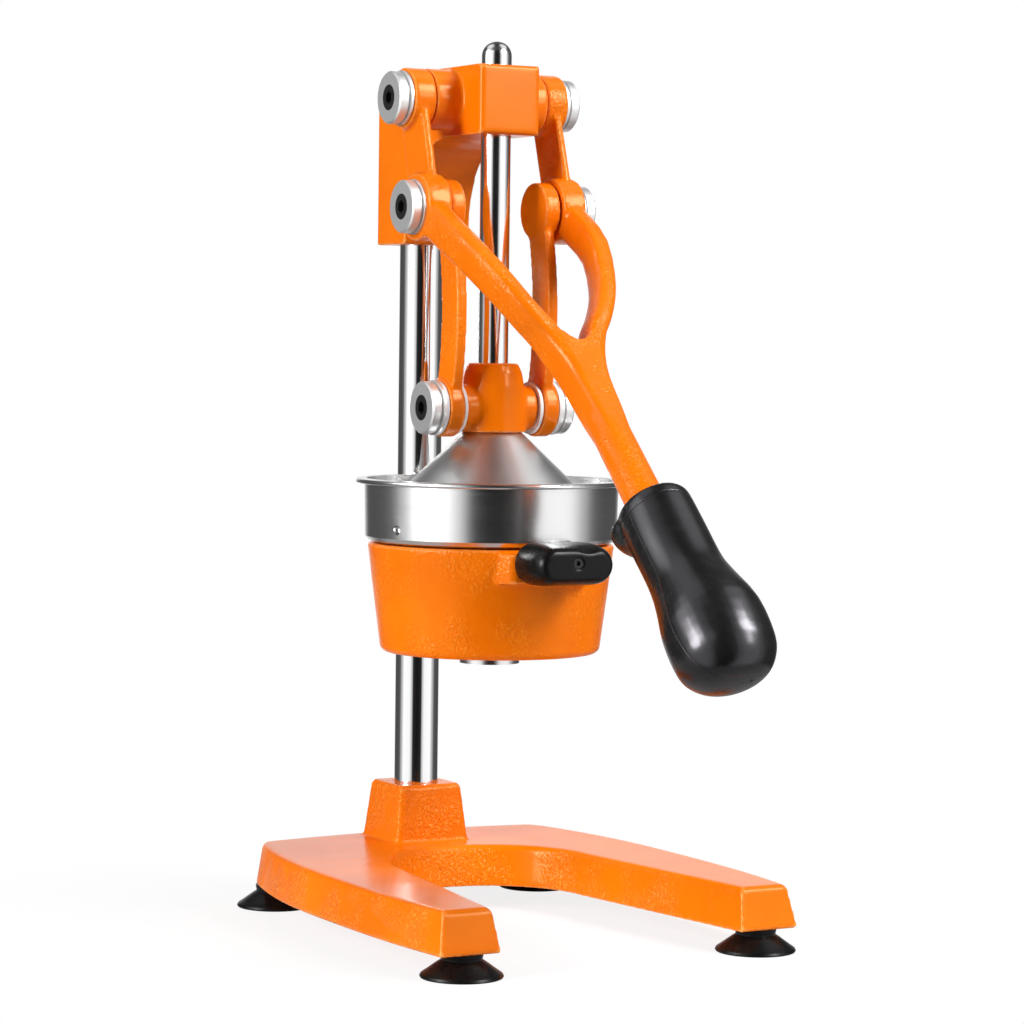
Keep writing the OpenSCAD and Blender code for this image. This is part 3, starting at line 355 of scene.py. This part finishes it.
# Colours of the painted shade in the pits, the painted glints on the bumps and the worn edges,
# which also carry a painted edge highlight, and how far they cover the paint
PIT_SHADE_COLOR = (0.45, 0.06, 0.0005, 1)
PIT_SHADE_COVER = 0.22
GLINT_COLOR = (1, 0.4, 0.05, 1)
GLINT_COVER = 0.55
EDGE_WEAR_AND_HIGHLIGHT_COLOR = (1, 0.5, 0.16, 1)
EDGE_WEAR_AND_HIGHLIGHT_COVER = (0.2, 0.8)
# Noise scales, to a mm, from the finest to the widest, and how the dents are stretched
GRAIN_SCALE = 1.2
DENT_SCALE = 0.85
EDGE_BREAKUP_SCALE = 0.4
PATCH_SCALE = 0.045
TONE_SCALE = 0.03
DENT_STRETCH = (1, 1, 0.85)
# Spans of a noise in which patches, the painted pit shade, the painted glints and the edge wear and
# highlight come or go
PATCH_SPAN = (0.42, 0.62)
PIT_SHADE_SPAN = (0.3, 0.46)
GLINT_SPAN = (0.56, 0.7)
EDGE_BREAKUP_SPAN = (0.35, 0.6)
# Span of the pointiness in which an edge begins
EDGE_SPAN = (0.52, 0.57)
# The base's dents fade to a share on faces that look up, by the rise of their normal
TOP_SPAN = (0.5, 0.8)
TOP_DENTS = 0.1
# They also fade out from here to its leg ends, y in mm
LEG_ENDS = (-112.0, -104.0)


def orange_paint(name, grain_height, dent_height, calm, legs=False):
    """Paint on castings: an orange peel grain, patches of hammered dents with painted shade in
    their pits and painted glints on their bumps, and lighter edges that are part wear, part painted
    highlight.

    Heights are in mm, and calm is what is left of the texture between its patches. With legs, the
    tops and the leg ends stay smoother than the rest.
    """
    n = Material(name, PAINT, roughness=0.18, Specular_IOR_Level=0.3, Specular_Tint=PAINT_TINT)
    mm = n.place()
    grain = n.noise(mm, GRAIN_SCALE, rough=0.55)
    dents = n.noise(n.place(DENT_STRETCH), DENT_SCALE, detail=1.5)
    shape = n.add("ShaderNodeNewGeometry").outputs
    patches = n.span(n.noise(mm, PATCH_SCALE, detail=1.0), *PATCH_SPAN, calm, 1.0)
    hammered = patches
    if legs:
        upright = n.span(n.split(shape["True Normal"])[2], *TOP_SPAN, 1.0, TOP_DENTS)
        behind = n.span(n.split(mm)[1], *LEG_ENDS)
        hammered = n.times(patches, n.times(upright, behind))

    depth = n.times(hammered, dent_height)
    # Painted shade: the dents' pits are darkened, as if shade fell in them
    pit_shade = n.times(n.span(dents, *PIT_SHADE_SPAN, PIT_SHADE_COVER, 0.0), depth)
    # Painted glints: the dents' raised bumps are lightened toward yellow, as if lit
    painted_glints = n.times(n.span(dents, *GLINT_SPAN, 0.0, GLINT_COVER), depth)
    # Lighter edges: part paint wear, part painted edge highlight, broken up by a noise
    edge_breakup = n.span(n.noise(mm, EDGE_BREAKUP_SCALE, detail=4.0), *EDGE_BREAKUP_SPAN, *EDGE_WEAR_AND_HIGHLIGHT_COVER)
    edges = n.times(n.span(shape["Pointiness"], *EDGE_SPAN), edge_breakup)
    color = n.ramp(n.noise(mm, TONE_SCALE, detail=3.0), PAINT_TONES)
    for share, tint in ((pit_shade, PIT_SHADE_COLOR), (painted_glints, GLINT_COLOR), (edges, EDGE_WEAR_AND_HIGHLIGHT_COLOR)):
        color = n.mix(share, color, tint)
    n.link(color, "Base Color")
    n.vary_roughness(grain, low=0.17, high=0.25)
    peel = n.times(grain, n.times(patches, grain_height))
    n.bump(n.math("ADD", peel, n.times(dents, depth)), depth=MM)
    return n.material


# Round bar: smears that run along it, and the rings that grinding leaves round it
BAR_SMEARS = (1, 1, 0.08)
BAR_RINGS = (0.4, 0.4, 3.0)


def bright_steel(name, rough_low, rough_high):
    """Ground and polished round bar."""
    n = Material(name, gray(0.86), roughness=rough_high, metallic=1.0)
    smears = n.noise(n.place(BAR_SMEARS), scale=0.6, detail=4.0)
    n.vary_roughness(smears, rough_low, rough_high)
    n.bump(n.noise(n.place(BAR_RINGS), scale=1.0), depth=0.001 * MM)
    return n.material


# Scales of the lines on spun sheet: close outward and up, to a mm, and long round the axis
SPUN_ACROSS = 2.2
SPUN_ROUND = 1.2


def spun_steel(name, tint, rough_low, rough_high):
    """Sheet steel turned about the press's axis, with fine lines round it."""
    n = Material(name, tint, roughness=rough_low, metallic=1.0)
    x, y, z = n.split(n.place())
    out = n.math("SQRT", n.math("ADD", n.math("POWER", x, 2.0), n.math("POWER", y, 2.0)))
    turn = n.math("ARCTAN2", y, x)
    where = n.join(n.times(out, SPUN_ACROSS), n.times(z, SPUN_ACROSS), n.times(turn, SPUN_ROUND))
    lines = n.noise(where, scale=1.4, detail=3.0, rough=0.6)
    n.vary_roughness(lines, rough_low, rough_high)
    n.bump(lines, depth=0.0015 * MM)
    return n.material


# What the rings on a turned face take from its roughness or add to it
RINGS_VARY = (-0.07, 0.09)


def turned_metal(name, tint, metallic, roughness):
    """Satin metal with the fine rings that turning leaves on its faces."""
    n = Material(name, tint, roughness=roughness, metallic=metallic)
    where = n.add("ShaderNodeTexCoord").outputs["Generated"]
    out = n.measure("DISTANCE", n.vector("MULTIPLY", where, (0, 1, 1)), (0, 0.5, 0.5))
    rings = n.noise(n.join(out), scale=90.0, detail=3.0, rough=0.6)
    n.vary_roughness(rings, *(roughness + change for change in RINGS_VARY))
    n.bump(rings, depth=0.012 * MM)
    return n.material


def black_steel():
    """Blackened screws."""
    n = Material("black_steel", gray(0.02), roughness=0.35, metallic=0.5)
    mm = n.place()
    n.vary_roughness(n.noise(mm, scale=2.0, detail=3.0), low=0.28, high=0.42)
    n.bump(n.noise(mm, scale=4.0), depth=0.004 * MM)
    return n.material


# What a moulded face's smears take from its roughness or add to it
MOULDED_VARY = (-0.03, 0.05)


def moulded(name, tint, roughness, grain, shine=0.3):
    """Plastic or rubber with a fine grain, its height in mm."""
    n = Material(name, tint, roughness=roughness, Specular_IOR_Level=shine)
    mm = n.place()
    smears = n.noise(mm, scale=0.25, detail=3.0)
    n.vary_roughness(smears, *(roughness + change for change in MOULDED_VARY))
    n.bump(n.noise(mm, scale=2.5), depth=grain * MM)
    return n.material


# The lever's grip: where it starts on the bar, in mm, and its own directions
GRIP_START = (0, -128.478, 196.203)
GRIP_ALONG = (0, -0.72417, -0.68962)
GRIP_UP = (0, -0.68962, 0.72417)
# Its parting line and the crease behind its rim: place from the start, half width, depth in mm
SEAM = (6.0, 0.45, 0.14)
CREASE = (16.6, 0.6, 0.16)
GRIP_GRAIN = 0.002
GRIP_TONES = ((NOISE_LOW, gray(0.005)), (NOISE_HIGH, gray(0.009)))
GRIP_TINT = (0.95, 0.92, 1, 1)


def grip_black():
    """Moulded grip with its parting line and a crease behind its rim."""
    n = Material("grip_black", gray(0.006), roughness=0.26, Specular_IOR_Level=0.66,
                 Specular_Tint=GRIP_TINT)
    mm = n.place()
    spot = n.vector("SUBTRACT", mm, GRIP_START)

    def groove(way, middle, half, depth):
        return n.times(n.line(n.measure("DOT_PRODUCT", spot, way), middle, half), depth)

    marks = n.math("MAXIMUM", groove(GRIP_UP, *SEAM), groove(GRIP_ALONG, *CREASE))
    grain = n.times(n.noise(mm, scale=1.6, detail=3.0), GRIP_GRAIN)
    n.bump(n.math("SUBTRACT", grain, marks), depth=MM)
    n.link(n.ramp(n.noise(mm, scale=0.1, detail=3.0), GRIP_TONES), "Base Color")
    n.vary_roughness(n.noise(mm, scale=0.2, detail=3.0), low=0.24, high=0.28)
    return n.material


def dress(cast):
    """Gives each piece the material of its slot or, where it has one, its own."""
    by_slot = {
        "orange_paint": orange_paint("orange_paint", grain_height=0.04, dent_height=0.02, calm=0.2),
        "bright_steel": bright_steel("bright_steel", 0.05, 0.09),
        "stainless_sheet": spun_steel("stainless_sheet", gray(0.78), 0.2, 0.26),
        "cap_metal": turned_metal("cap_metal", gray(0.7), metallic=0.78, roughness=0.38),
        "black_steel": black_steel(),
        "plated_steel": turned_metal("plated_steel", gray(0.62), metallic=1.0, roughness=0.3),
        "white_nylon": moulded("white_nylon", gray(0.82), roughness=0.4, grain=0.006),
        "black_plastic": moulded("black_plastic", gray(0.005), 0.26, grain=0.003, shine=0.16),
        "black_rubber": moulded("black_rubber", gray(0.004), 0.28, grain=0.006, shine=0.2),
    }
    own = {
        "base": orange_paint("orange_paint_base", 0.07, dent_height=0.9, calm=0.04, legs=True),
        "cup": orange_paint("orange_paint_cup", 0.07, dent_height=0.5, calm=0.02),
        "lever": orange_paint("orange_paint_lever", 0.06, dent_height=0.5, calm=0.0),
        "press_cone": spun_steel("stainless_cone", gray(0.66), 0.31, 0.37),
        "ram": bright_steel("ram_steel", 0.11, 0.17),
        "lever_grip": grip_black(),
    }
    own["link_left"] = own["link_right"] = own["lever"]
    for part in record["subparts"]:
        name = part["node"]
        piece = cast.get(name, nodes[name])
        piece.data.materials.clear()
        piece.data.materials.append(own.get(name, by_slot[part["material_slot"]]))
        for face in piece.data.polygons:
            face.material_index = 0


# Screens that only reflections show: share of a half turn away from the camera, and brightness
LOW_BANDS = (
    (0.0, 0.01), (0.11, 0.02), (0.17, 0.75), (0.22, 1.1), (0.4, 1.15), (0.5, 0.5),
    (0.57, 0.12), (0.64, 0.08), (0.85, 0.08), (0.95, 0.9), (1.0, 1.0),
)
HIGH_BANDS = (
    (0.0, 0.05), (0.25, 0.12), (0.37, 0.6), (0.5, 0.9), (0.68, 0.9), (0.8, 0.12), (1.0, 0.08),
)
# The screens are turned by these degrees from the camera's direction
BAND_TURN = 3.0
# Rise of a direction in which the high screens follow the low ones, and the zenith follows both
HIGH_SPAN = (0.56, 0.72)
ZENITH_SPAN = (0.93, 0.985)
ZENITH = (0.05, 0.05, 0.05, 1)
DIFFUSE_FILL = (0.12, 0.12, 0.12, 1)
WHITE = (1, 1, 1, 1)


def build_world():
    """White to the camera, a weak fill for the surfaces, and screens in the reflections."""
    world = bpy.data.worlds.new("studio")
    world.use_nodes = True
    bpy.context.scene.world = world
    n = Nodes(world.node_tree)
    n.tree.nodes.clear()

    way = n.add("ShaderNodeTexCoord").outputs["Generated"]
    level = n.vector("NORMALIZE", n.vector("MULTIPLY", way, (1, 1, 0)))
    toward = direction(CAM_AZIMUTH + BAND_TURN, 0)
    angle = n.math("ARCCOSINE", n.measure("DOT_PRODUCT", level, toward))
    share = n.math("DIVIDE", angle, math.pi)
    low, high = (n.ramp(share, [(spot, gray(light)) for spot, light in bands], "EASE")
                 for bands in (LOW_BANDS, HIGH_BANDS))
    rise = n.split(way)[2]
    screens = n.mix(n.span(rise, *HIGH_SPAN), low, high)
    screens = n.mix(n.span(rise, *ZENITH_SPAN), screens, ZENITH)
    path = n.add("ShaderNodeLightPath").outputs
    light = n.mix(path["Is Glossy Ray"], DIFFUSE_FILL, screens)
    seen = n.math("MAXIMUM", path["Is Camera Ray"], path["Is Transmission Ray"])
    color = n.mix(seen, light, WHITE)
    background = n.add("ShaderNodeBackground", {"Color": color, "Strength": 1.0})
    out = n.add("ShaderNodeOutputWorld")
    n.tree.links.new(background.outputs[0], out.inputs[0])


# The floor lies just under the feet, so that the two don't flicker where they meet
FLOOR_RADIUS = 0.3
FLOOR_SIDES = 120
FLOOR_DROP = 0.05 * MM
# Its brightness in reflections, where the camera sees it at one
FLOOR_REFLECTED = 0.35
# The shadow's share beside the press, and the distances from the axis in which it fades out
SHADOW_SHARE = 0.16
SHADOW_REACH = (0.11, 0.27)


def build_floor():
    """A round floor: white to the camera, dimmer in reflections, faintly shaded at the feet."""
    turns = [math.radians(360 / FLOOR_SIDES * k) for k in range(FLOOR_SIDES)]
    rim = [(FLOOR_RADIUS * math.cos(t), FLOOR_RADIUS * math.sin(t), 0) for t in turns]
    mesh = bpy.data.meshes.new("floor")
    mesh.from_pydata(rim, [], [list(range(FLOOR_SIDES))])
    floor = bpy.data.objects.new("floor", mesh)
    floor.location.z = -FLOOR_DROP
    bpy.context.scene.collection.objects.link(floor)

    n = Material("floor_white", gray(0.9), roughness=0.6, Specular_IOR_Level=0.0)
    near, end = (reach / MM for reach in SHADOW_REACH)
    shade = n.span(n.measure("LENGTH", n.place()), near, end, SHADOW_SHARE, 0.0)
    path = n.add("ShaderNodeLightPath").outputs
    straight = n.math("MAXIMUM", path["Is Camera Ray"], path["Is Transmission Ray"])
    seen = n.math("MAXIMUM", straight, path["Is Glossy Ray"])
    share = n.times(seen, n.math("SUBTRACT", 1.0, shade))
    level = n.span(path["Is Glossy Ray"], 0.0, 1.0, 1.0, FLOOR_REFLECTED)
    white = n.add("ShaderNodeEmission", {"Color": WHITE, "Strength": level}).outputs[0]
    mixed = n.add("ShaderNodeMixShader", {0: share, 1: n.shader.outputs[0], 2: white})
    n.tree.links.new(mixed.outputs[0], n.tree.nodes["Material Output"].inputs[0])
    mesh.materials.append(n.material)


LAMP_TARGET = Vector((0, 0, 0.19))
# Soft lamps: azimuth from the camera's, elevation, distance, width, height, watts, and whether
# reflections show them
LAMPS = {
    "key_left": (-57, 14, 1.3, 0.46, 0.54, 17, True),
    "key_right": (66, 39, 1.3, 0.46, 0.54, 17.5, True),
    "wash_left": (-82, 27, 1.3, 0.55, 0.75, 2.2, True),
    "side_right": (57, 18, 1.4, 0.26, 0.3, 3, True),
    "top": (150, 70, 1.3, 0.6, 0.6, 5, False),
}


def build_lamps():
    for name, (azimuth, elevation, distance, width, height, watts, glossy) in LAMPS.items():
        data = bpy.data.lights.new(name, "AREA")
        data.shape = "RECTANGLE"
        data.size = width
        data.size_y = height
        data.energy = watts
        way = direction(CAM_AZIMUTH + azimuth, elevation)
        light = bpy.data.objects.new(name, data)
        light.location = LAMP_TARGET + way * distance
        light.rotation_euler = way.to_track_quat("Z", "Y").to_euler()
        light.visible_glossy = glossy
        bpy.context.scene.collection.objects.link(light)


place_camera()
dress(cast_pieces())
build_world()
build_floor()
build_lamps()
bpy.context.scene.view_settings.view_transform = "Standard"
